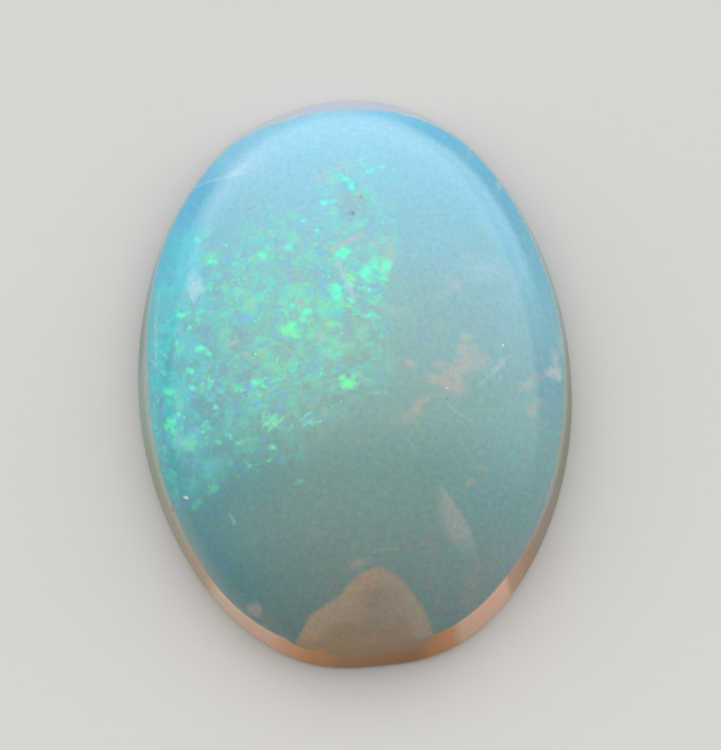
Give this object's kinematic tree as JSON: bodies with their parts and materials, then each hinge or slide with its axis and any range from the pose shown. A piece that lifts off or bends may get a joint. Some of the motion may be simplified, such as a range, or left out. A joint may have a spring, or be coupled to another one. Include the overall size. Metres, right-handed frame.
{
  "type": "opal cabochon",
  "caption": "Polished oval opal cabochon with a domed front, a low sloping side wall and a flat back.",
  "frame": {"origin": "middle of the flat back, at the centre of the outline's box", "axes": "+Z from the flat back towards the dome, +Y along the long axis towards the end without the pink patch, +X to the right when the dome is looked down on with +Y upwards"},
  "size_m": [0.01, 0.0134, 0.0036],
  "materials": {
    "opal": "polished"
  },
  "bodies": {
    "root": {"opal_cabochon": "opal"}
  },
  "joints": []
}
